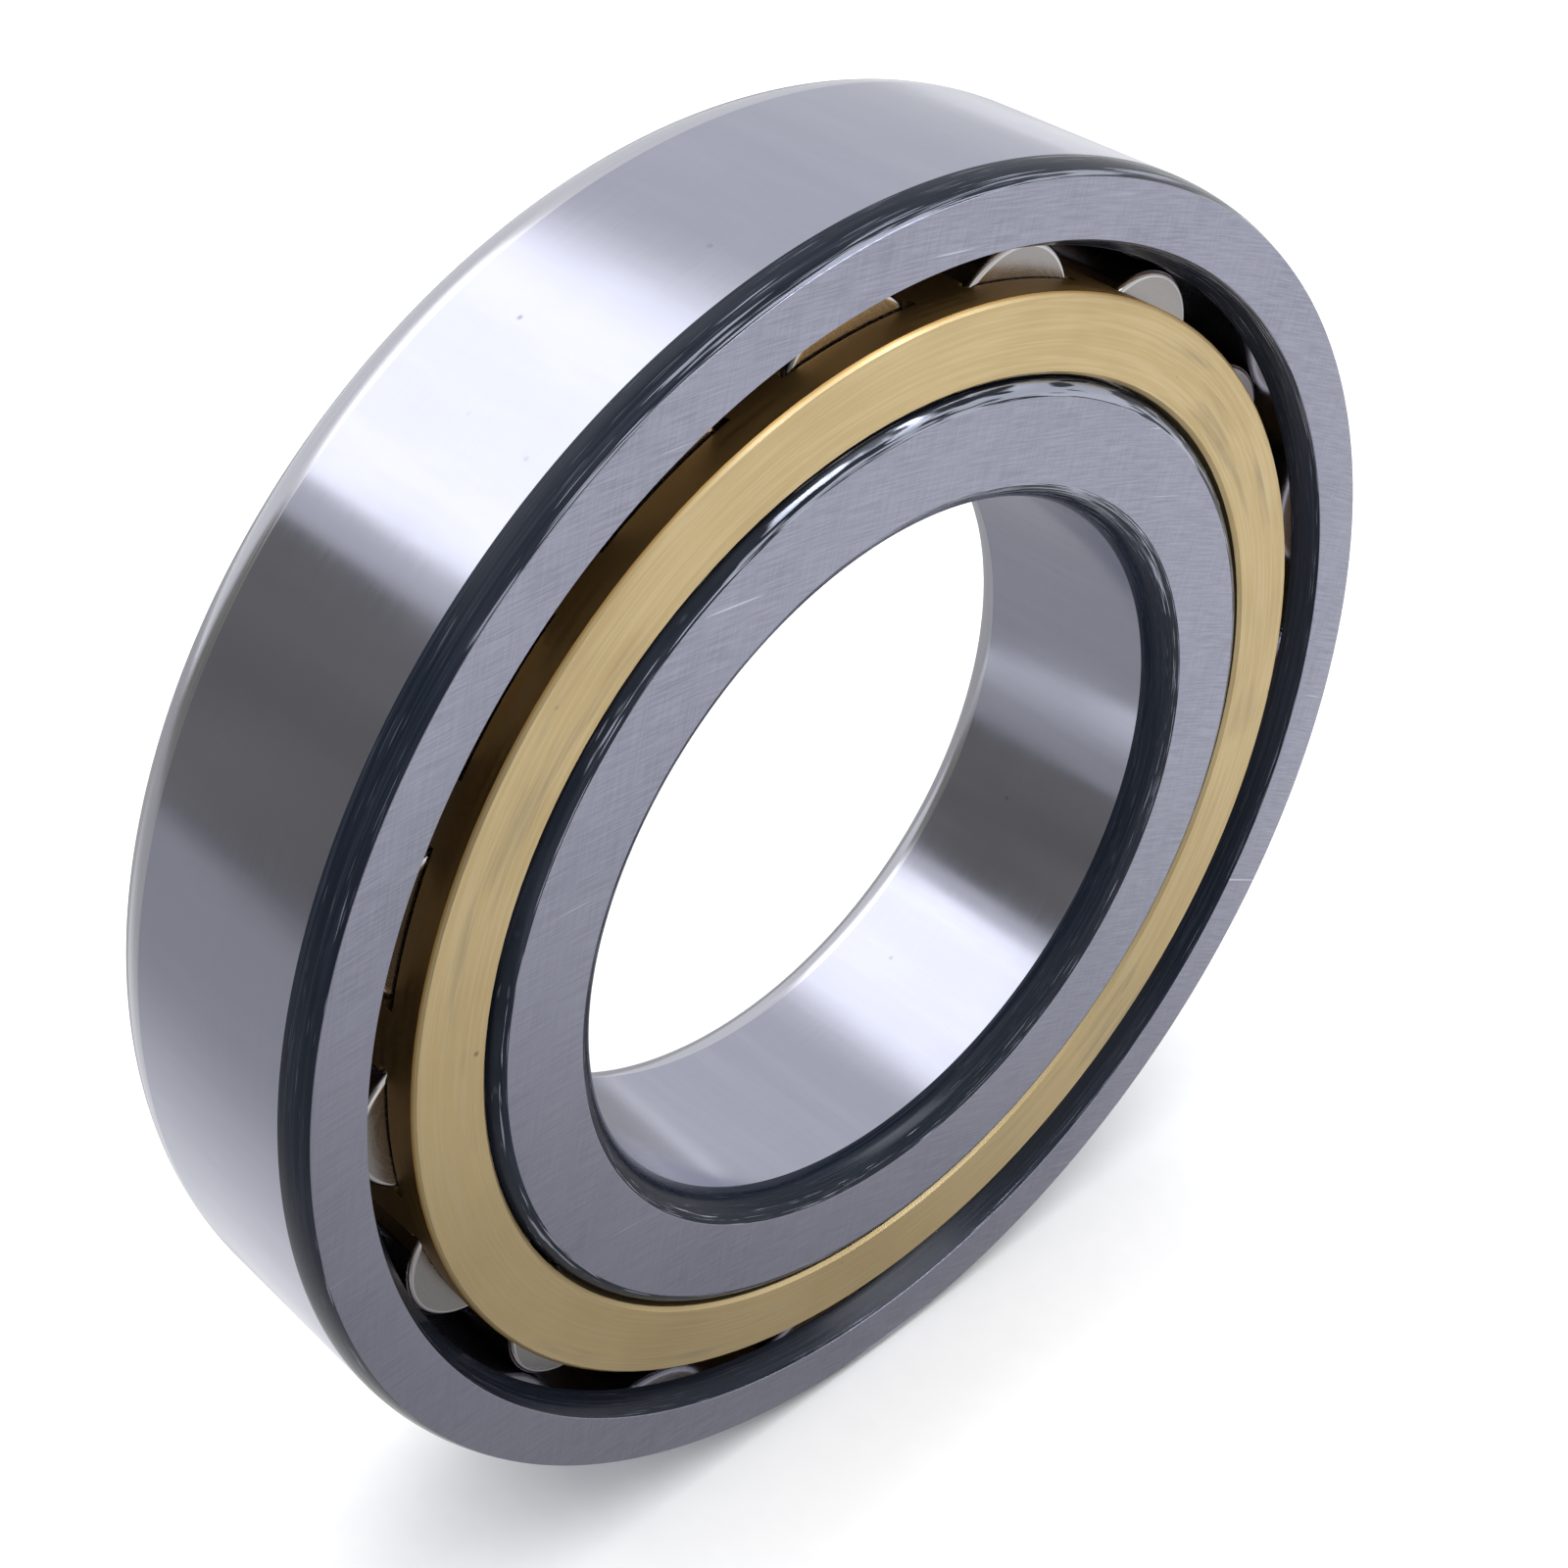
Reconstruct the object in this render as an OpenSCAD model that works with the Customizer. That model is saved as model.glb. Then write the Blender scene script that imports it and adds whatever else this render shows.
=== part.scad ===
// Single-row cylindrical roller bearing of the N design.
// The inner ring has two flanges and carries the rollers and the cage.
// The outer ring has none, so the inner ring and its rollers can slide out of it.
// The bearing axis is X, the origin is the centre of the bearing, and the open
// side of the cage body, without rivet heads, looks along +X.

/* [Rings] */
// Bore diameter of the inner ring
bore_d = 60; // [58:0.5:61]
// Outside diameter of the outer ring
outer_d = 110; // [108:0.5:114]
// Width of both rings
ring_w = 22; // [21.5:0.5:24]
// Outside diameter of the inner ring's flanges
flange_d = 79.2; // [78:0.1:79.4]
// Running clearance between a raceway and a roller, measured on the radius
race_gap = 0.02; // [0.01:0.01:0.05]
// Clearance between a flange and a roller end
end_gap = 0.05; // [0.02:0.01:0.1]

/* [Ring edges] */
// How far the outer ring's outer edge rounding reaches along the axis
outer_edge_w = 2.7; // [2:0.1:3]
// How far the same rounding reaches in from the outside diameter
outer_edge_h = 0.7; // [0.5:0.1:1.2]
// How far the bore edge rounding reaches along the axis
bore_edge_w = 2.6; // [2:0.1:3]
// How far the same rounding reaches out from the bore
bore_edge_h = 1.9; // [1:0.1:2]
// How far the flange edge rounding reaches along the axis
flange_edge_w = 1.4; // [1:0.1:2]
// How far the same rounding reaches in from the flange diameter
flange_edge_h = 1.2; // [0.8:0.1:1.4]
// Length of the lead-in taper at each end of the outer raceway
lead_in_w = 2.2; // [1:0.1:3]
// How far the lead-in taper opens on the radius
lead_in_h = 1.15; // [0.5:0.05:1.3]
// Width of the grinding relief in each corner of the inner raceway
relief_w = 0.7; // [0.4:0.1:1]
// Depth of the grinding relief below the inner raceway
relief_h = 0.35; // [0.2:0.05:0.5]

/* [Rollers] */
// Number of rollers
roller_count = 17; // [12:1:17]
// Roller diameter
roller_d = 12; // [11.8:0.1:12.1]
// Roller length
roller_len = 15; // [14:0.1:15.2]
// Corner radius of a roller
roller_corner = 0.5; // [0.3:0.1:1]
// Diameter of the circle through the roller centres
pitch_d = 85.5; // [85.3:0.1:85.8]
// Angle of the first roller about the axis, from +Y towards +Z
first_angle = 9.956; // [0:0.001:30]

/* [Cage] */
// Outside diameter of the cage
cage_outer_d = 92; // [91:0.5:94]
// Bore diameter of the cage
cage_bore_d = 79.8; // [79.6:0.1:80.6]
// How far each cage face lies inside the ring faces
cage_recess = 0.4; // [0.4:0.1:0.6]
// Clearance round a roller in its pocket, measured on the radius
pocket_gap = 0.12; // [0.1:0.01:0.15]
// Clearance between a roller end and the pocket's end wall
pocket_end_gap = 0.2; // [0.1:0.05:0.3]
// Width of the pocket mouth at the cage's outside diameter
mouth_w = 11.2; // [10.6:0.1:11.6]
// Extra radius of the cutter relief at the blind end of a pocket
pocket_relief = 0.6; // [0.3:0.1:0.6]
// Length of that cutter relief
pocket_relief_w = 0.8; // [0.5:0.1:1.2]
// Break on the cage's outer and inner edges
cage_edge = 0.3; // [0.1:0.1:0.5]

/* [Rivets] */
// Diameter of the rivet stud on the end of each cage bar
stud_d = 2.2; // [1.8:0.1:2.4]
// Diameter of the closed rivet head
head_d = 3.6; // [3:0.1:4]
// Height of the closed rivet head
head_h = 0.3; // [0.2:0.05:0.35]

/* [Hidden] */
$fn = 96;
roller_pitch = 360 / roller_count;
pitch_r = pitch_d / 2;
roller_r = roller_d / 2;
inner_race_r = pitch_r - roller_r - race_gap;
outer_race_r = pitch_r + roller_r + race_gap;
pocket_r = roller_r + pocket_gap;
pocket_end = roller_len / 2 + pocket_end_gap;
cage_end = ring_w / 2 - cage_recess;
race_half_w = roller_len / 2 + end_gap;
// Share of an edge arc's radius where the flat part of the section takes over from the arc
arc_share = 0.9;
// How far a cutting shape reaches past the surface that it cuts
through = 1;
// How far a rivet stud is rooted in the cage bar
stud_root = 0.5;
ring_grey = [0.60, 0.60, 0.66];
roller_grey = [0.72, 0.70, 0.70];
brass_yellow = [0.80, 0.67, 0.42];

function roller_name(i) = str("roller_", i < 10 ? "0" : "", i);
function roller_angle(i) = first_angle + (i - 1) * roller_pitch;
// Radius of the arc that meets the cylinder tangentially, w from the face, and cuts
// the face h from the cylinder.
function edge_radius(w, h) = (w * w + h * h) / (2 * h);

// Turns a shape that was built along Z onto the bearing axis.
module along_axis() {
    rotate([90, 0, 90])
        children();
}

// Puts a shape at the centre of roller space number i.
module at_roller(i, offset_steps = 0) {
    rotate([0, 0, roller_angle(i) + offset_steps * roller_pitch])
        translate([pitch_r, 0, 0])
            children();
}

// Half section of a plain band between two radii and two heights.
module band(r_in, r_out, low, high) {
    translate([r_in, low])
        square([r_out - r_in, high - low]);
}

// Half section of a ring end with a rounded outer edge, from height low up to the face.
module rounded_out(r_in, r_out, low, face, w, h) {
    arc_r = edge_radius(w, h);
    intersection() {
        band(r_in, r_out, low, face);
        union() {
            band(r_in, r_out, low, face - w);
            translate([r_out - arc_r, face - w])
                circle(arc_r);
            band(r_in, r_out - arc_r * arc_share, low, face);
        }
    }
}

// Half section of a ring end with a rounded inner edge, from height low up to the face.
module rounded_in(r_in, r_out, low, face, w, h) {
    arc_r = edge_radius(w, h);
    intersection() {
        band(r_in, r_out, low, face);
        union() {
            band(r_in, r_out, low, face - w);
            translate([r_in + arc_r, face - w])
                circle(arc_r);
            band(r_in + arc_r * arc_share, r_out, low, face);
        }
    }
}

// Outer ring: plain raceway open at both sides, with a lead-in taper at each end.
module outer_ring() {
    face = ring_w / 2;
    color(ring_grey)
        along_axis()
            rotate_extrude($fn = 180)
                difference() {
                    for (side = [0, 1])
                        mirror([0, side])
                            rounded_out(outer_race_r, outer_d / 2, 0, face,
                                        outer_edge_w, outer_edge_h);
                    for (side = [0, 1])
                        mirror([0, side])
                            polygon([
                                [outer_race_r - through, face - lead_in_w],
                                [outer_race_r, face - lead_in_w],
                                [outer_race_r + lead_in_h, face],
                                [outer_race_r + lead_in_h, face + through],
                                [outer_race_r - through, face + through]
                            ]);
                }
}

// Inner ring: raceway between two flanges, with a relief groove in each corner.
module inner_ring() {
    face = ring_w / 2;
    mid_r = (bore_d / 2 + inner_race_r) / 2;
    color(ring_grey)
        along_axis()
            rotate_extrude($fn = 180)
                difference() {
                    for (side = [0, 1])
                        mirror([0, side]) {
                            rounded_in(bore_d / 2, mid_r, 0, face, bore_edge_w, bore_edge_h);
                            band(mid_r, inner_race_r, 0, face);
                            rounded_out(mid_r, flange_d / 2, race_half_w, face,
                                        flange_edge_w, flange_edge_h);
                        }
                    for (side = [0, 1])
                        mirror([0, side])
                            band(inner_race_r - relief_h, inner_race_r + relief_h,
                                 race_half_w - relief_w, race_half_w);
                }
}

// Half section of a cage ring between two heights, with broken edges at its outer face.
module cage_ring_section(low, high) {
    r_in = cage_bore_d / 2;
    r_out = cage_outer_d / 2;
    polygon([
        [r_in, low],
        [r_out, low],
        [r_out, high - cage_edge],
        [r_out - cage_edge, high],
        [r_in + cage_edge, high],
        [r_in, high - cage_edge]
    ]);
}

// Space for one roller: a bored pocket, its mouth and the cutter relief at its blind end.
module pocket() {
    depth = pocket_end * 2 + through;
    translate([0, 0, pocket_end - depth])
        cylinder(r = pocket_r, h = depth);
    translate([0, -mouth_w / 2, pocket_end - depth])
        cube([cage_outer_d / 2 - pitch_r + through, mouth_w, depth]);
    translate([0, 0, pocket_end - pocket_relief_w])
        cylinder(r = pocket_r + pocket_relief, h = pocket_relief_w);
}

// Rivet stud on the end of a cage bar, with its closed head on the cover.
module rivet() {
    translate([0, 0, -cage_end])
        cylinder(d = stud_d, h = cage_end - pocket_end + stud_root);
    translate([0, 0, -cage_end - head_h])
        cylinder(d = head_d, h = head_h);
}

// Cage body: the ring at the +X side, the bars between the rollers and their rivets.
module cage_body() {
    color(brass_yellow)
        along_axis() {
            difference() {
                rotate_extrude($fn = 180)
                    cage_ring_section(-pocket_end, cage_end);
                for (i = [1 : roller_count])
                    at_roller(i)
                        pocket();
            }
            for (i = [1 : roller_count])
                at_roller(i, 0.5)
                    rivet();
        }
}

// Cage cover: the ring that closes the pockets, with one hole for each rivet stud.
module cage_cover() {
    color(brass_yellow)
        along_axis()
            difference() {
                mirror([0, 0, 1])
                    rotate_extrude($fn = 180)
                        cage_ring_section(pocket_end, cage_end);
                for (i = [1 : roller_count])
                    at_roller(i, 0.5)
                        translate([0, 0, -cage_end - through])
                            cylinder(d = stud_d, h = cage_end - pocket_end + 2 * through);
            }
}

// Roller: a ground cylinder with rounded corners.
module roller() {
    flat_r = roller_r - roller_corner;
    flat_h = roller_len / 2 - roller_corner;
    rotate_extrude() {
        band(0, flat_r, -roller_len / 2, roller_len / 2);
        band(0, roller_r, -flat_h, flat_h);
        for (side = [-1, 1])
            translate([flat_r, side * flat_h])
                circle(roller_corner);
    }
}

outer_ring();
inner_ring();
cage_body();
cage_cover();
for (i = [1 : roller_count])
    color(roller_grey)
            along_axis()
                at_roller(i)
                    roller();
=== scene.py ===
"""Looks of a cylindrical roller bearing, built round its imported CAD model."""

import math

import bmesh
import bpy
import numpy as np
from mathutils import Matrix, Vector


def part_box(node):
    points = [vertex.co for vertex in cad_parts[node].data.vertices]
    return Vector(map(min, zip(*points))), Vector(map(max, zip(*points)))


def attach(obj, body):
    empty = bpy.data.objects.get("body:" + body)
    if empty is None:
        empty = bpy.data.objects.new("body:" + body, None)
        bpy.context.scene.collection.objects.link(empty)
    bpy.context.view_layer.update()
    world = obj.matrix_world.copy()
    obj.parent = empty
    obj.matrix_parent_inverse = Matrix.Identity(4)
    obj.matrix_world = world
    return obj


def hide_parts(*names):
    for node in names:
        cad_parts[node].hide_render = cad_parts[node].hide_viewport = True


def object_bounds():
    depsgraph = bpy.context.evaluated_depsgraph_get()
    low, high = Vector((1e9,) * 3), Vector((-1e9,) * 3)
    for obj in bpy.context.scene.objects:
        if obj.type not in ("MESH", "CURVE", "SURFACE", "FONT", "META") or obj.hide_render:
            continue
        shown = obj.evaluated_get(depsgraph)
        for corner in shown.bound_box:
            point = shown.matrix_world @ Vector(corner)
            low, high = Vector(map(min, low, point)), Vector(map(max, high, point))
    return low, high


MM = 0.001
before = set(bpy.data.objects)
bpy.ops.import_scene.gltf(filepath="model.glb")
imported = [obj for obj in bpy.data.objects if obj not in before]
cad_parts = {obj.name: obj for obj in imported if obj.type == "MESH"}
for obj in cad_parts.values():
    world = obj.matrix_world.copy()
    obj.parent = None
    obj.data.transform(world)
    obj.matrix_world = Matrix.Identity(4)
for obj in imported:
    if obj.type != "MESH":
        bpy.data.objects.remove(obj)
cad_low, cad_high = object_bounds()

# Edge forms of the turned pieces: how far each reaches along the axis, and on the radius.
OUTER_EDGE = (2.7 * MM, 0.7 * MM)
BORE_EDGE = (2.6 * MM, 1.9 * MM)
FLANGE_EDGE = (1.4 * MM, 1.2 * MM)
LEAD_IN = (2.2 * MM, 1.15 * MM)
RELIEF = (0.7 * MM, 0.35 * MM)
ROLLER_END_GAP = 0.05 * MM
ROLLER_CORNER = 0.5 * MM
EDGE_BREAK = 0.06 * MM

# Steps round a ring, round a roller, along one edge arc and along one corner break.
RING_STEPS = 408
ROLLER_STEPS = 96
ARC_STEPS = 14
BREAK_STEPS = 3

# Corners closer than WELD are one. Faces that meet more sharply than CREASE, in degrees,
# keep an edge between them.
WELD = 0.0001 * MM
CREASE = 24.0

# Refractive index of the dark skin on the unground edges, whose darkness is partly real oxide and
# partly painted shade.
SKIN_IOR = 1.28

# Camera: lens, sensor width and distance in millimetres, and its place round the bearing.
LENS = 59.2
SENSOR = 36.0
CAMERA_AZIMUTH = 46.5
CAMERA_ELEVATION = 38.5
CAMERA_DISTANCE = 203.7
CAMERA_AIM = Vector((-2.0, -0.7, 1.3)) * MM
NEAR_CLIP = 0.01

# Studio: lengths in metres, the fill lamp's power in watts. SHEET_GAP is how far the table
# card lies above the floor.
FLOOR_HALF = 3.0
SHEET_GAP = 1.0 * MM
WORLD_STRENGTH = 0.75
FILL_PLACE = (0.0, 0.0, 1.6)
FILL_AIM = (0.0, 0.0, 0.0)
FILL_SIZE = 2.2
FILL_POWER = 36.0

# The sheets that show in polished steel, as (lowest x, highest x, lowest y, highest y), and
# their heights. The room's end stands on the lowest-y edge of the table.
TABLE_SPAN = (-0.9, 0.9, -0.45, 0.9)
SOFTBOX_SPAN = (-0.96, -0.24, -0.53, 0.22)
SECOND_LAMP_SPAN = (0.22, 0.68, 0.17, 0.63)
SOFTBOX_Z = 0.6
SECOND_LAMP_Z = 0.63
ROOM_END_TOP = 0.40


# ---------------------------------------------------------------- sizes from the frame

def radii(node):
    """Least and greatest distance of a CAD node's corners from the bearing axis."""
    corners = np.array([v.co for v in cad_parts[node].data.vertices])
    distance = np.hypot(corners[:, 1], corners[:, 2])
    return float(distance.min()), float(distance.max())


def middle(node):
    """Centre of a CAD node's box."""
    low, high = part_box(node)
    return (low + high) / 2


race_r, outer_r = radii("outer_ring")
bore_r, flange_r = radii("inner_ring")
face_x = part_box("outer_ring")[1].x
rollers = sorted(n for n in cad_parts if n.startswith("roller_"))
pitch_r = math.hypot(middle(rollers[0]).y, middle(rollers[0]).z)
roller_r = (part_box(rollers[0])[1].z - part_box(rollers[0])[0].z) / 2
roller_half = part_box(rollers[0])[1].x
inner_race_r = pitch_r - (race_r - pitch_r)


# ---------------------------------------------------------------- turned meshes

def arc_radius(edge):
    """Radius of the arc that leaves a cylinder tangentially and cuts the face."""
    w, h = edge
    return (w * w + h * h) / (2 * h)


def edge_arc(edge, side_r, outward):
    """Half section of a rounded ring end, from the cylinder of radius side_r up to the face.

    outward is 1 where the steel lies inside that cylinder, and -1 where it lies outside."""
    arc_r = arc_radius(edge)
    sweep = math.asin(edge[0] / arc_r)
    points = []
    for i in range(ARC_STEPS + 1):
        a = sweep * i / ARC_STEPS
        drop = arc_r * (1 - math.cos(a))
        points.append((face_x - edge[0] + arc_r * math.sin(a), side_r - outward * drop))
    return points


def break_corner(before, corner, after, size):
    """A corner of a half section as a short arc, with its ends size away from the corner."""
    corner = Vector(corner)
    first = corner + (Vector(before) - corner).normalized() * size
    last = corner + (Vector(after) - corner).normalized() * size
    points = []
    for i in range(BREAK_STEPS + 1):
        t = i / BREAK_STEPS
        points.append(tuple(first * (1 - t) ** 2 + corner * 2 * t * (1 - t) + last * t * t))
    return points


def spin(name, runs, steps):
    """A closed turned solid about the X axis. runs are (points, material number) stretches of
    its half section, in order and end to end, each point as (x, radius)."""
    section = []
    zones = []
    for points, zone in runs:
        for point in points[:-1]:
            section.append(point)
            zones.append(zone)
    count = len(section)
    angles = [2 * math.pi * k / steps for k in range(steps)]
    vertices = [(x, r * math.cos(a), r * math.sin(a)) for a in angles for x, r in section]
    faces = []
    face_zones = []
    for k in range(steps):
        here = k * count
        there = (k + 1) % steps * count
        for i in range(count):
            j = (i + 1) % count
            faces.append((here + i, here + j, there + j, there + i))
            face_zones.append(zones[i])
    mesh = bpy.data.meshes.new(name)
    mesh.from_pydata(vertices, [], faces)
    mesh.polygons.foreach_set("material_index", face_zones)
    finish_mesh(mesh)
    return mesh


def finish_mesh(mesh):
    """Welds coinciding corners and shades smoothly, except across sharp edges."""
    edit = bmesh.new()
    edit.from_mesh(mesh)
    bmesh.ops.remove_doubles(edit, verts=edit.verts, dist=WELD)
    bmesh.ops.recalc_face_normals(edit, faces=edit.faces)
    edit.to_mesh(mesh)
    edit.free()
    mesh.polygons.foreach_set("use_smooth", [True] * len(mesh.polygons))
    mesh.set_sharp_from_angle(angle=math.radians(CREASE))


def add_piece(name, mesh, materials, body, nodes):
    """Puts a finished mesh in the scene, on its body and in place of its CAD nodes."""
    piece = bpy.data.objects.new(name, mesh)
    bpy.context.scene.collection.objects.link(piece)
    for material in materials:
        mesh.materials.append(material)
    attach(piece, body)
    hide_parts(*nodes)
    return piece


# ---------------------------------------------------------------- material graphs

# Places of the colour sockets on Blender's mix node, whose names are not unique.
MIX_A, MIX_B, MIX_RESULT = 6, 7, 2


class Graph:
    """A node tree with short ways to add the nodes that these materials need."""

    def __init__(self, name):
        self.material = bpy.data.materials.new(name)
        self.material.use_nodes = True
        self.tree = self.material.node_tree
        self.shader = self.tree.nodes["Principled BSDF"]
        self.place = self.add("ShaderNodeTexCoord").outputs["Object"]

    def add(self, kind):
        return self.tree.nodes.new(kind)

    def put(self, socket, value):
        """Links value to a socket if it is an output, and sets it there if it is a number."""
        if isinstance(value, bpy.types.NodeSocket):
            self.tree.links.new(value, socket)
        else:
            socket.default_value = value

    def set(self, **values):
        """Sets or links the shader's own sockets, such as base_color or roughness."""
        for name, value in values.items():
            label = name.replace("_", " ").title().replace("Ior", "IOR")
            self.put(self.shader.inputs[label], value)

    def math(self, operation, a, b=0.0):
        node = self.add("ShaderNodeMath")
        node.operation = operation
        self.put(node.inputs[0], a)
        self.put(node.inputs[1], b)
        return node.outputs[0]

    def split(self, vector):
        node = self.add("ShaderNodeSeparateXYZ")
        self.put(node.inputs[0], vector)
        return node.outputs[0], node.outputs[1], node.outputs[2]

    def join(self, x, y, z):
        node = self.add("ShaderNodeCombineXYZ")
        self.put(node.inputs[0], x)
        self.put(node.inputs[1], y)
        self.put(node.inputs[2], z)
        return node.outputs[0]

    def noise(self, vector, scale=1.0, detail=2.0, roughness=0.5):
        node = self.add("ShaderNodeTexNoise")
        self.put(node.inputs["Vector"], vector)
        node.inputs["Scale"].default_value = scale
        node.inputs["Detail"].default_value = detail
        node.inputs["Roughness"].default_value = roughness
        return node.outputs["Fac"]

    def cells(self, vector, scale):
        """Distance to the nearest of many scattered points."""
        node = self.add("ShaderNodeTexVoronoi")
        self.put(node.inputs["Vector"], vector)
        node.inputs["Scale"].default_value = scale
        return node.outputs["Distance"]

    def ease(self, value, low, high, to_low=0.0, to_high=1.0):
        """value from low to high becomes a smooth step from to_low to to_high."""
        node = self.add("ShaderNodeMapRange")
        node.interpolation_type = "SMOOTHSTEP"
        self.put(node.inputs["Value"], value)
        node.inputs["From Min"].default_value = low
        node.inputs["From Max"].default_value = high
        node.inputs["To Min"].default_value = to_low
        node.inputs["To Max"].default_value = to_high
        return node.outputs["Result"]

    def mix(self, factor, a, b):
        """Colour a where factor is 0 and colour b where it is 1."""
        node = self.add("ShaderNodeMix")
        node.data_type = "RGBA"
        self.put(node.inputs["Factor"], factor)
        self.put(node.inputs[MIX_A], a)
        self.put(node.inputs[MIX_B], b)
        return node.outputs[MIX_RESULT]

    def bump(self, height, distance, strength=1.0):
        node = self.add("ShaderNodeBump")
        self.put(node.inputs["Height"], height)
        node.inputs["Distance"].default_value = distance
        node.inputs["Strength"].default_value = strength
        self.tree.links.new(node.outputs["Normal"], self.shader.inputs["Normal"])

    def polar(self):
        """(x, radius, cosine, sine) of a surface point about the piece's own X axis, where
        cosine is along Y and sine along Z."""
        x, y, z = self.split(self.place)
        radius = self.math("SQRT", self.math("ADD", self.math("MULTIPLY", y, y),
                                             self.math("MULTIPLY", z, z)))
        return x, radius, self.math("DIVIDE", y, radius), self.math("DIVIDE", z, radius)


def colour(r, g, b):
    return (r, g, b, 1.0)


def turned_lines(g, across, around=2.0, per_metre=4000.0, detail=3.0):
    """Noise in long fine lines round the axis. across is the coordinate that the lines cross."""
    _, _, cosine, sine = g.polar()
    return g.noise(g.join(g.math("MULTIPLY", cosine, around),
                          g.math("MULTIPLY", sine, around),
                          g.math("MULTIPLY", across, per_metre)), 1.0, detail, 0.6)


def mirror_steel():
    """Ground cylinders: near mirrors with fine lines round the axis and a few nicks."""
    g = Graph("ground_cylinder_steel")
    x, _, cosine, sine = g.polar()
    lines = turned_lines(g, x)
    cloud = g.noise(g.place, 60.0, 3.0)
    nicks = g.math("MULTIPLY", g.ease(g.cells(g.place, 260.0), 0.0, 0.09, 1.0, 0.0),
                   g.ease(g.noise(g.place, 90.0, 2.0), 0.56, 0.62))
    shade = g.mix(g.math("MULTIPLY", lines, 0.35), colour(0.46, 0.47, 0.57),
                  colour(0.54, 0.55, 0.65))
    smear = g.ease(g.noise(g.join(g.math("MULTIPLY", x, 28.0), g.math("MULTIPLY", cosine, 9.0),
                                  g.math("MULTIPLY", sine, 9.0)), 1.0, 4.0, 0.65), 0.35, 0.75)
    shade = g.mix(g.math("MULTIPLY", smear, 0.2), shade, colour(0.66, 0.67, 0.76))
    g.set(base_color=g.mix(nicks, shade, colour(0.25, 0.25, 0.27)),
          metallic=1.0,
          roughness=g.math("ADD", g.ease(cloud, 0.3, 0.7, 0.09, 0.17),
                           g.math("MULTIPLY", lines, 0.06)))
    g.bump(g.math("SUBTRACT", lines, g.math("MULTIPLY", nicks, 3.0)), 0.6e-6)
    return g.material


def ground_steel():
    """Ground side faces: fine crossed grinding lines, and a few long bright scratches."""
    g = Graph("ground_face_steel")
    _, y, z = g.split(g.place)
    turn = math.radians(-14.0)
    along = g.math("ADD", g.math("MULTIPLY", y, math.cos(turn)),
                   g.math("MULTIPLY", z, math.sin(turn)))
    over = g.math("SUBTRACT", g.math("MULTIPLY", z, math.cos(turn)),
                  g.math("MULTIPLY", y, math.sin(turn)))
    # the first family bends a little, as a large wheel leaves it
    bent = g.math("ADD", over, g.math("MULTIPLY", g.math("MULTIPLY", along, along), 3.0))
    first = g.noise(g.join(g.math("MULTIPLY", bent, 6500.0), g.math("MULTIPLY", along, 260.0),
                           0.0), 1.0, 3.0, 0.7)
    second = g.noise(g.join(g.math("MULTIPLY", along, 5200.0), g.math("MULTIPLY", over, 230.0),
                            7.0), 1.0, 2.0, 0.6)
    scratch = g.ease(g.noise(g.join(g.math("MULTIPLY", bent, 2300.0),
                                    g.math("MULTIPLY", along, 70.0), 31.0), 1.0, 1.0),
                     0.74, 0.79)
    cloud = g.noise(g.place, 75.0, 4.0)
    lines = g.math("ADD", g.math("MULTIPLY", first, 0.72), g.math("MULTIPLY", second, 0.28))
    shade = g.mix(g.ease(lines, 0.34, 0.66), colour(0.285, 0.287, 0.355),
                  colour(0.375, 0.378, 0.465))
    shade = g.mix(g.ease(cloud, 0.35, 0.65, 0.0, 0.25), shade, colour(0.40, 0.40, 0.48))
    g.set(base_color=g.mix(g.math("MULTIPLY", scratch, 0.7), shade,
                           colour(0.66, 0.66, 0.74)),
          metallic=1.0,
          roughness=g.ease(lines, 0.3, 0.7, 0.42, 0.30))
    g.bump(g.math("ADD", lines, scratch), 2.0e-6)
    return g.material


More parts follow.
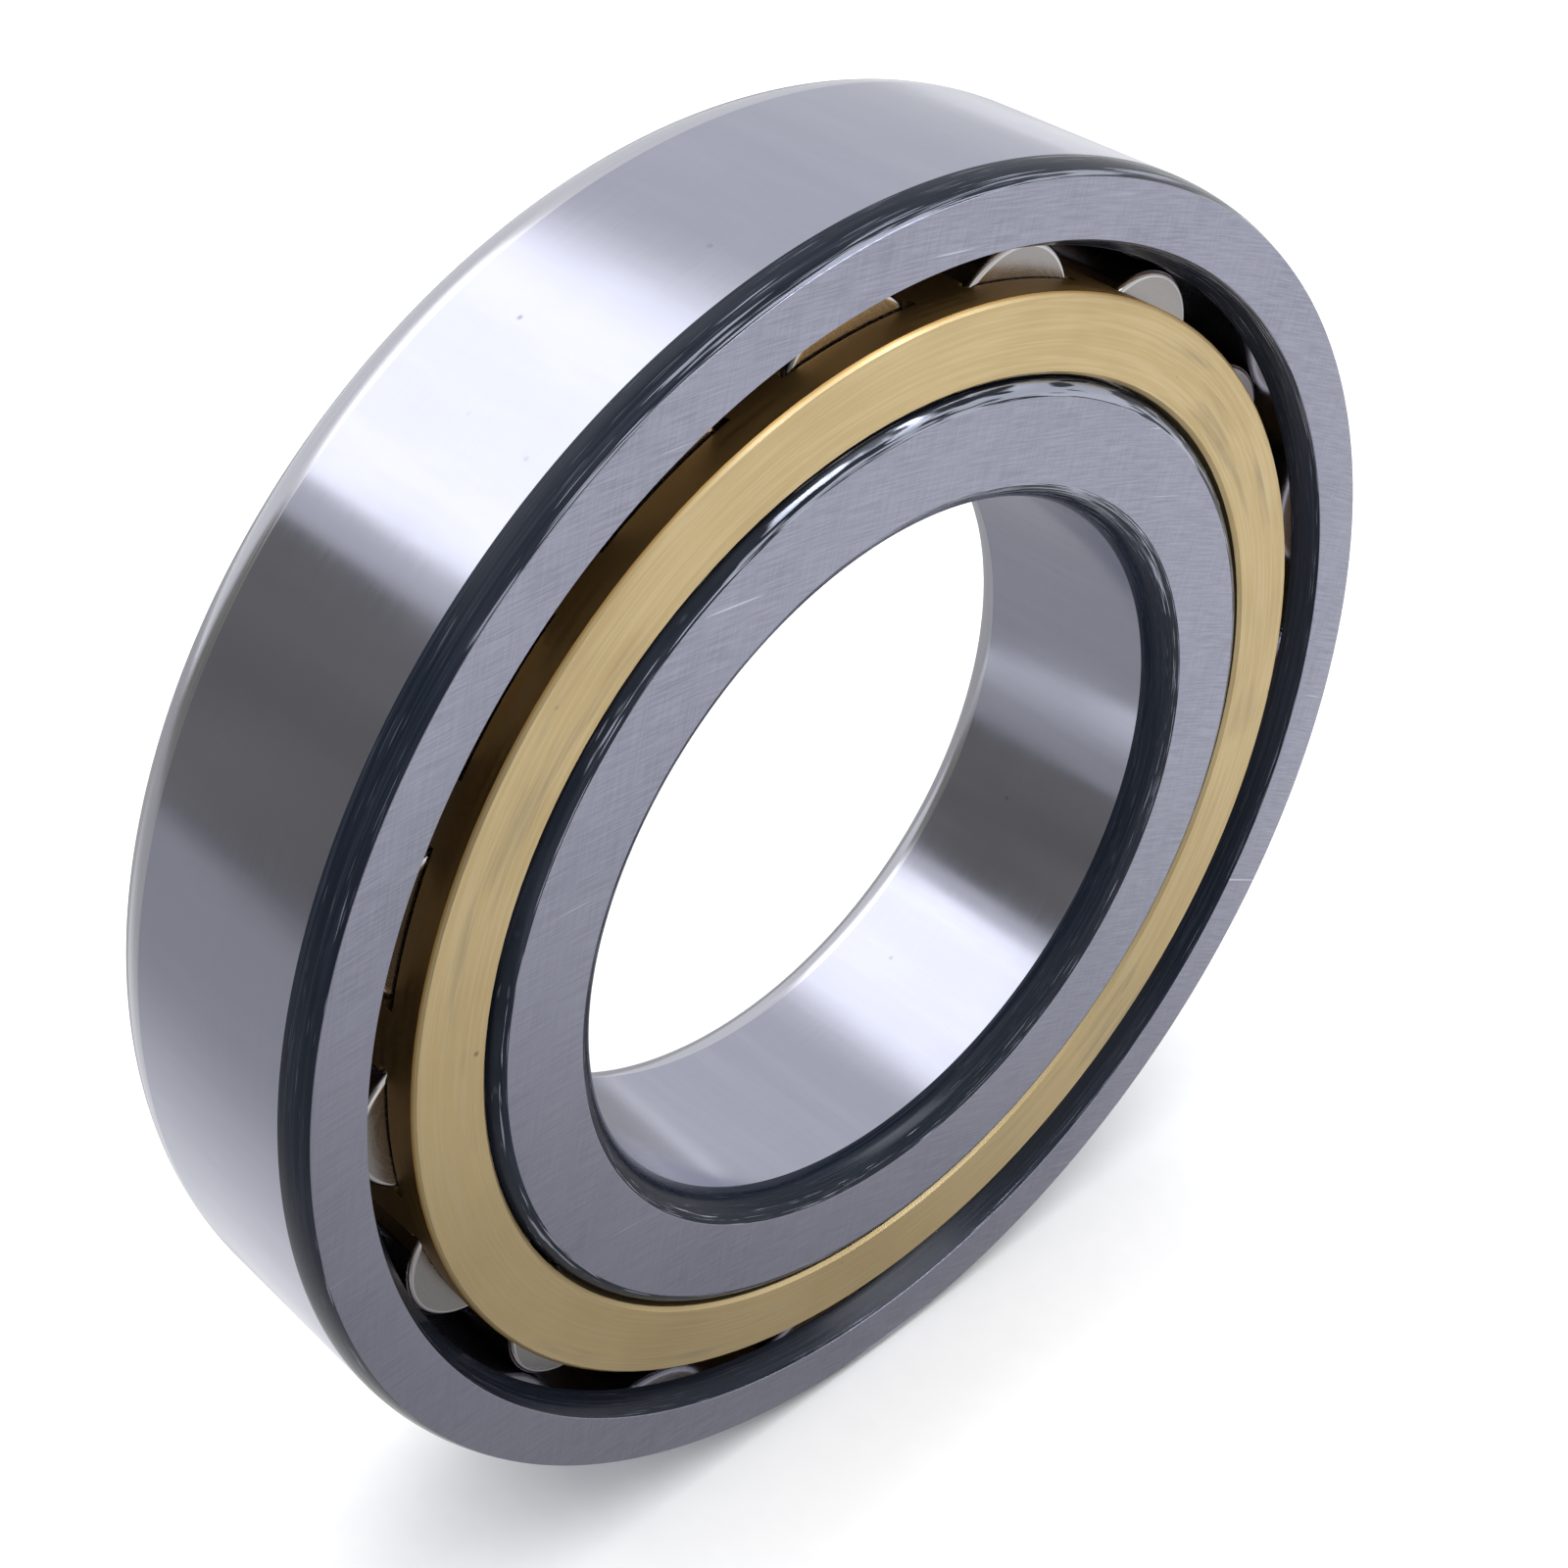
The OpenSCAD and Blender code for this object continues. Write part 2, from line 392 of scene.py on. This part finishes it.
def edge_steel():
    """Unground edge roundings: dark partly from heat treatment and partly from painted shade,
    standing in for the dim room that they reflect, with turning lines, bright nicks and a
    ragged limit where grinding of the ground face has reached into them. More bare steel
    towards the top of the circumference is a painted highlight."""
    g = Graph("dark_turned_steel")
    x, radius, cosine, sine = g.polar()
    across = g.math("ADD", x, radius)
    lines = turned_lines(g, across, 3.0, 5200.0)
    torn = turned_lines(g, across, 5.0, 9500.0, 2.0)
    # nearness to the side face, and a painted highlight: more bare steel towards the top of the
    # circumference
    near_face = g.ease(g.math("ABSOLUTE", x), face_x - 1.3 * MM, face_x, 0.0, 0.17)
    painted_highlight_arc = g.ease(g.math("ADD", sine, g.math("MULTIPLY", cosine, 0.25)), 0.45, 1.0, 0.0, 0.14)
    bare_steel_and_highlight = g.ease(g.math("ADD", torn, g.math("ADD", near_face, painted_highlight_arc)), 0.76, 0.84)
    nicks = g.ease(g.noise(g.join(g.math("MULTIPLY", cosine, 90.0),
                                  g.math("MULTIPLY", sine, 90.0),
                                  g.math("MULTIPLY", across, 6000.0)), 1.0, 2.0), 0.79, 0.83)
    hairlines = g.ease(turned_lines(g, across, 12.0, 11000.0, 1.0), 0.66, 0.76, 0.0, 0.10)
    # real torn edge, nicks and hairlines, together with the painted highlight at the top
    cuts_and_highlight = g.math("MAXIMUM", bare_steel_and_highlight, g.math("MAXIMUM", nicks, hairlines))
    # dark skin: partly real oxide, partly painted shade for the dim room these roundings reflect
    dark_skin_and_shade = g.mix(g.ease(lines, 0.35, 0.75), colour(0.006, 0.009, 0.016),
                 colour(0.016, 0.021, 0.034))
    g.set(base_color=g.mix(cuts_and_highlight, dark_skin_and_shade, colour(0.42, 0.44, 0.52)),
          metallic=cuts_and_highlight,
          roughness=g.math("ADD", g.ease(lines, 0.3, 0.7, 0.16, 0.30),
                           g.math("MULTIPLY", cuts_and_highlight, 0.1)),
          ior=SKIN_IOR)
    g.bump(g.math("ADD", lines, g.math("MULTIPLY", cuts_and_highlight, -0.6)), 5.0e-6)
    return g.material


def turned_steel():
    """Edge roundings of the far side: bright turned steel, the lit copy of the near side's
    roundings, which are dark with painted shade.
    """
    g = Graph("bright_turned_steel")
    x, radius, _, _ = g.polar()
    lines = turned_lines(g, g.math("ADD", x, radius), 3.0, 5200.0)
    g.set(base_color=g.mix(lines, colour(0.60, 0.60, 0.66), colour(0.72, 0.72, 0.78)),
          metallic=1.0,
          roughness=g.ease(lines, 0.3, 0.7, 0.14, 0.24))
    g.bump(lines, 2.0e-6)
    return g.material


def brass(outside_r):
    """Turned brass: concentric tool marks, grey rubbed streaks and small pits. The
    surface of radius outside_r is a darker, deeper gold: painted shade on the cage's outer
    surface."""
    g = Graph("turned_brass")
    x, radius, _, _ = g.polar()
    across = g.math("ADD", x, radius)
    lines = turned_lines(g, across, 4.0, 3800.0)
    rubbed = g.math("MULTIPLY",
                    g.ease(turned_lines(g, across, 2.2, 620.0, 3.0), 0.50, 0.70),
                    g.ease(g.noise(g.place, 38.0, 2.0), 0.48, 0.60))
    cloud = g.noise(g.place, 55.0, 4.0)
    pits = g.math("MULTIPLY", g.ease(g.cells(g.place, 260.0), 0.0, 0.09, 1.0, 0.0),
                  g.ease(g.noise(g.place, 70.0, 1.0), 0.52, 0.57))
    shade = g.mix(g.ease(cloud, 0.3, 0.7), colour(0.56, 0.43, 0.225), colour(0.65, 0.505, 0.275))
    shade = g.mix(g.math("MULTIPLY", g.ease(lines, 0.4, 0.7), 0.22), shade,
                  colour(0.78, 0.66, 0.43))
    # painted shade: the cage's outer surface, at radius outside_r, is made darker and deeper gold
    shade = g.mix(g.ease(radius, outside_r - 0.2 * MM, outside_r - 0.05 * MM), shade,
                  colour(0.44, 0.265, 0.09))
    shade = g.mix(g.math("MULTIPLY", rubbed, 0.55), shade, colour(0.36, 0.30, 0.21))
    g.set(base_color=g.mix(pits, shade, colour(0.20, 0.15, 0.09)),
          metallic=1.0,
          roughness=g.math("ADD", g.ease(lines, 0.3, 0.7, 0.54, 0.42),
                           g.math("MULTIPLY", rubbed, 0.1)))
    g.bump(g.math("SUBTRACT", lines, g.math("MULTIPLY", pits, 4.0)), 2.0e-6)
    return g.material


def roller_steel():
    """Ground and lapped rollers: warm mirror steel with faint lines round their own axis."""
    g = Graph("roller_side_steel")
    x, _, _, _ = g.polar()
    lines = turned_lines(g, x, 3.0, 6000.0)
    g.set(base_color=g.mix(lines, colour(0.54, 0.52, 0.51), colour(0.62, 0.60, 0.59)),
          metallic=1.0,
          roughness=g.ease(lines, 0.3, 0.7, 0.09, 0.15))
    g.bump(lines, 0.5e-6)
    return g.material


def roller_end_steel():
    """Roller ends: ground flat with fine rings, in a darker steel than the sides: painted
    shade for the ends, which sit deep between the rings and the cage.
    """
    g = Graph("roller_end_steel")
    _, radius, _, _ = g.polar()
    lines = turned_lines(g, radius, 3.0, 5000.0)
    # the darker end colour is painted shade
    g.set(base_color=g.mix(lines, colour(0.30, 0.285, 0.28), colour(0.39, 0.37, 0.36)),
          metallic=1.0,
          roughness=g.ease(lines, 0.3, 0.7, 0.22, 0.32))
    g.bump(lines, 1.5e-6)
    return g.material


def pale_floor():
    """Plain near-white sheet."""
    g = Graph("pale_sheet")
    grain = g.noise(g.place, 400.0, 3.0)
    g.set(base_color=g.mix(grain, colour(0.90, 0.90, 0.905), colour(0.94, 0.94, 0.94)),
          roughness=0.8)
    g.bump(grain, 20.0e-6)
    return g.material


# ---------------------------------------------------------------- pieces

# Finishes along a half section, as places in the rings' list of materials. BACK_EDGE is what
# a FRONT_EDGE becomes at the other side of the bearing: the same rounding, dark with painted
# shade at the near end and bright at the far end.
MIRROR, FACE, DARK, FRONT_EDGE, BACK_EDGE = 0, 1, 2, 3, 4


def both_sides(runs):
    """Adds the mirrored other end to the runs of one end of a ring, as one closed section."""
    other = []
    for points, zone in reversed(runs):
        back_zone = BACK_EDGE if zone == FRONT_EDGE else zone
        other.append(([(-x, r) for x, r in reversed(points)], back_zone))
    return runs + other


def outer_ring_mesh():
    """Outer ring: plain raceway, a lead-in at each end and rounded outer edges."""
    lead_r = race_r + LEAD_IN[1]
    lead_x = face_x - LEAD_IN[0]
    rounding = edge_arc(OUTER_EDGE, outer_r, 1)
    face_edge = rounding[-1]
    inner_corner = break_corner((lead_x, race_r), (face_x, lead_r), face_edge, EDGE_BREAK)
    outer_corner = break_corner(inner_corner[-1], face_edge, rounding[-2], EDGE_BREAK)
    end = [
        ([(0.0, race_r), (lead_x, race_r)], MIRROR),
        ([(lead_x, race_r), inner_corner[0]], DARK),
        (inner_corner + outer_corner, FACE),
        ([outer_corner[-1]] + rounding[-2::-1], FRONT_EDGE),
        ([rounding[0], (0.0, outer_r)], MIRROR),
    ]
    return spin("outer_ring_detail", both_sides(end), RING_STEPS)


def inner_ring_mesh():
    """Inner ring: raceway between two flanges, relief grooves and rounded edges."""
    flange_x = roller_half + ROLLER_END_GAP
    relief_x = flange_x - RELIEF[0]
    relief_r = inner_race_r - RELIEF[1]
    top = edge_arc(FLANGE_EDGE, flange_r, 1)
    bore = edge_arc(BORE_EDGE, bore_r, -1)
    upper = break_corner(top[-2], top[-1], bore[-1], EDGE_BREAK)
    lower = break_corner(top[-1], bore[-1], bore[-2], EDGE_BREAK)
    flange_corner = break_corner((flange_x, relief_r), (flange_x, flange_r), top[0], EDGE_BREAK)
    end = [
        ([(0.0, inner_race_r), (relief_x, inner_race_r)], MIRROR),
        ([(relief_x, inner_race_r), (relief_x, relief_r), (flange_x, relief_r)], DARK),
        ([(flange_x, relief_r)] + flange_corner, MIRROR),
        ([flange_corner[-1], top[0]], MIRROR),
        (top[:-1] + [upper[0]], DARK),
        (upper + lower, FACE),
        ([lower[-1]] + bore[-2::-1], FRONT_EDGE),
        ([bore[0], (0.0, bore_r)], MIRROR),
    ]
    return spin("inner_ring_detail", both_sides(end), RING_STEPS)


def roller_mesh():
    """Roller: a ground cylinder with rounded corners, about its own centre."""
    flat_x = roller_half - ROLLER_CORNER
    flat_r = roller_r - ROLLER_CORNER
    corner = []
    for i in range(ARC_STEPS + 1):
        a = math.pi / 2 * i / ARC_STEPS
        corner.append((flat_x + ROLLER_CORNER * math.sin(a), flat_r + ROLLER_CORNER * math.cos(a)))
    end = [
        ([(0.0, roller_r), corner[0]], 0),
        (corner, 0),
        ([corner[-1], (roller_half, roller_r / 2), (roller_half, 0.0)], 1),
        ([(roller_half, 0.0), (0.0, 0.0)], 1),
    ]
    return spin("roller_detail", both_sides(end), ROLLER_STEPS)


def build_bearing():
    """Detailed rings and rollers in place of their CAD nodes, and brass on the cage nodes."""
    dark = edge_steel()
    # painted light and shade: FRONT_EDGE takes the dark steel and BACK_EDGE the bright steel, two
    # copies of one rounding
    steels = [mirror_steel(), ground_steel(), dark, dark, turned_steel()]
    add_piece("outer_ring_detail", outer_ring_mesh(), steels, "outer_ring",
              ["outer_ring"])
    add_piece("inner_ring_detail", inner_ring_mesh(), steels, "inner_ring",
              ["inner_ring"])
    mesh = roller_mesh()
    mesh.materials.append(roller_steel())
    mesh.materials.append(roller_end_steel())
    for node in rollers:
        piece = bpy.data.objects.new(node + "_detail", mesh)
        piece.location = middle(node)
        bpy.context.scene.collection.objects.link(piece)
        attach(piece, node)
        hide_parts(node)
    cage_brass = brass(radii("cage_body")[1])
    for node in ("cage_body", "cage_cover"):
        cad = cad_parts[node]
        for slot in cad.material_slots:
            slot.material = cage_brass


# ---------------------------------------------------------------- studio

def direction(azimuth, elevation):
    """Unit vector. Azimuth runs from -Y towards +X, elevation from the floor upwards."""
    a = math.radians(azimuth)
    e = math.radians(elevation)
    return Vector((math.sin(a) * math.cos(e), -math.cos(a) * math.cos(e), math.sin(e)))


def add_camera():
    data = bpy.data.cameras.new("camera")
    data.lens = LENS
    data.sensor_width = SENSOR
    data.clip_start = NEAR_CLIP
    camera = bpy.data.objects.new("camera", data)
    camera.location = direction(CAMERA_AZIMUTH, CAMERA_ELEVATION) * CAMERA_DISTANCE * MM
    camera.rotation_euler = (CAMERA_AIM - camera.location).to_track_quat("-Z", "Y").to_euler()
    bpy.context.scene.collection.objects.link(camera)
    bpy.context.scene.camera = camera


def add_fill():
    """A large soft lamp straight above, which polished steel does not reflect."""
    data = bpy.data.lights.new("fill", "AREA")
    data.shape = "RECTANGLE"
    data.size = FILL_SIZE
    data.size_y = FILL_SIZE
    data.energy = FILL_POWER
    light = bpy.data.objects.new("fill", data)
    light.location = FILL_PLACE
    aim = Vector(FILL_AIM) - Vector(FILL_PLACE)
    light.rotation_euler = aim.to_track_quat("-Z", "Y").to_euler()
    light.visible_glossy = False
    bpy.context.scene.collection.objects.link(light)


def panel(name, corners, material):
    """A flat four-cornered sheet of the studio."""
    mesh = bpy.data.meshes.new(name)
    mesh.from_pydata(corners, [], [(0, 1, 2, 3)])
    mesh.materials.append(material)
    obj = bpy.data.objects.new(name, mesh)
    bpy.context.scene.collection.objects.link(obj)
    return obj


def glow(g, radiance, tint):
    """A surface that gives out light of its own. radiance may vary over it."""
    g.set(base_color=colour(0.0, 0.0, 0.0), roughness=1.0, specular_ior_level=0.0,
          emission_color=tint, emission_strength=radiance)
    return g.material


def room_end_cloth():
    """Dim warm end of the room, a little uneven."""
    g = Graph("room_end_cloth")
    return glow(g, g.ease(g.noise(g.place, 6.0, 2.0), 0.3, 0.7, 0.17, 0.22),
                colour(1.0, 0.97, 0.90))


def table_card():
    """The table top as polished steel sees it: bright beside the bearing and on the open
    table, in the bearing's shadow elsewhere, and dim towards the end of the room."""
    g = Graph("table_card")
    x, y, _ = g.split(g.place)
    behind = g.math("SUBTRACT", y, g.math("MULTIPLY", x, 0.3))
    beside = g.math("MULTIPLY", g.ease(y, -0.14, -0.02, 0.42, 1.0),
                    g.math("MULTIPLY", g.ease(behind, -0.035, -0.022, 1.0, 0.0),
                           g.ease(x, -0.01, 0.02, 1.0, 0.0)))
    slant = g.math("ADD", g.math("MULTIPLY", x, 0.6), g.math("MULTIPLY", y, 0.7))
    open_table = g.ease(slant, 0.0, 0.10, 0.42, 0.98)
    lit = g.math("MAXIMUM", beside, open_table)
    return glow(g, g.math("MULTIPLY", lit, g.ease(y, -0.45, -0.28, 0.45, 1.0)),
                colour(0.985, 0.99, 1.0))


def softbox_silk():
    """White silk in front of the main lamp, less bright towards +Y."""
    g = Graph("softbox_silk")
    _, y, _ = g.split(g.place)
    return glow(g, g.ease(y, 0.06, 0.22, 1.88, 0.80), colour(1.0, 1.0, 1.0))


def lamp_silk():
    """Bluish silk in front of the small bright lamp on the near side, a little uneven."""
    g = Graph("lamp_silk")
    patch = g.noise(g.place, 3.0, 1.0)
    return glow(g, g.ease(patch, 0.3, 0.7, 5.0, 9.0), colour(0.90, 0.93, 1.0))


def card(name, corners, material):
    """A sheet that shows in polished steel. The camera does not see it, and it neither
    lights nor shades matt surfaces."""
    sheet = panel(name, corners, material)
    sheet.visible_camera = False
    sheet.visible_diffuse = False
    sheet.visible_shadow = False


def level_sheet(span, z):
    """Corners of a level sheet. span is (lowest x, highest x, lowest y, highest y)."""
    x_low, x_high, y_low, y_high = span
    return [(x_low, y_low, z), (x_high, y_low, z), (x_high, y_high, z), (x_low, y_high, z)]


def add_studio():
    """Pale floor, even daylight, the sheets that polished steel reflects and the fill lamp."""
    world = bpy.data.worlds.new("studio")
    bpy.context.scene.world = world
    world.use_nodes = True
    background = world.node_tree.nodes["Background"]
    background.inputs["Color"].default_value = colour(0.97, 0.98, 1.0)
    background.inputs["Strength"].default_value = WORLD_STRENGTH
    floor_z = cad_low.z
    floor_span = (-FLOOR_HALF, FLOOR_HALF, -FLOOR_HALF, FLOOR_HALF)
    panel("floor", level_sheet(floor_span, floor_z), pale_floor())
    x_low, x_high, y_low, y_high = TABLE_SPAN
    card("room_end", [(x_low, y_low, floor_z), (x_high, y_low, floor_z),
                      (x_high, y_low, ROOM_END_TOP), (x_low, y_low, ROOM_END_TOP)],
         room_end_cloth())
    card("table_card", level_sheet(TABLE_SPAN, floor_z + SHEET_GAP), table_card())
    card("softbox", level_sheet(SOFTBOX_SPAN, SOFTBOX_Z), softbox_silk())
    card("second_lamp", level_sheet(SECOND_LAMP_SPAN, SECOND_LAMP_Z), lamp_silk())
    add_fill()


add_camera()
build_bearing()
add_studio()
bpy.context.scene.view_settings.view_transform = "Standard"
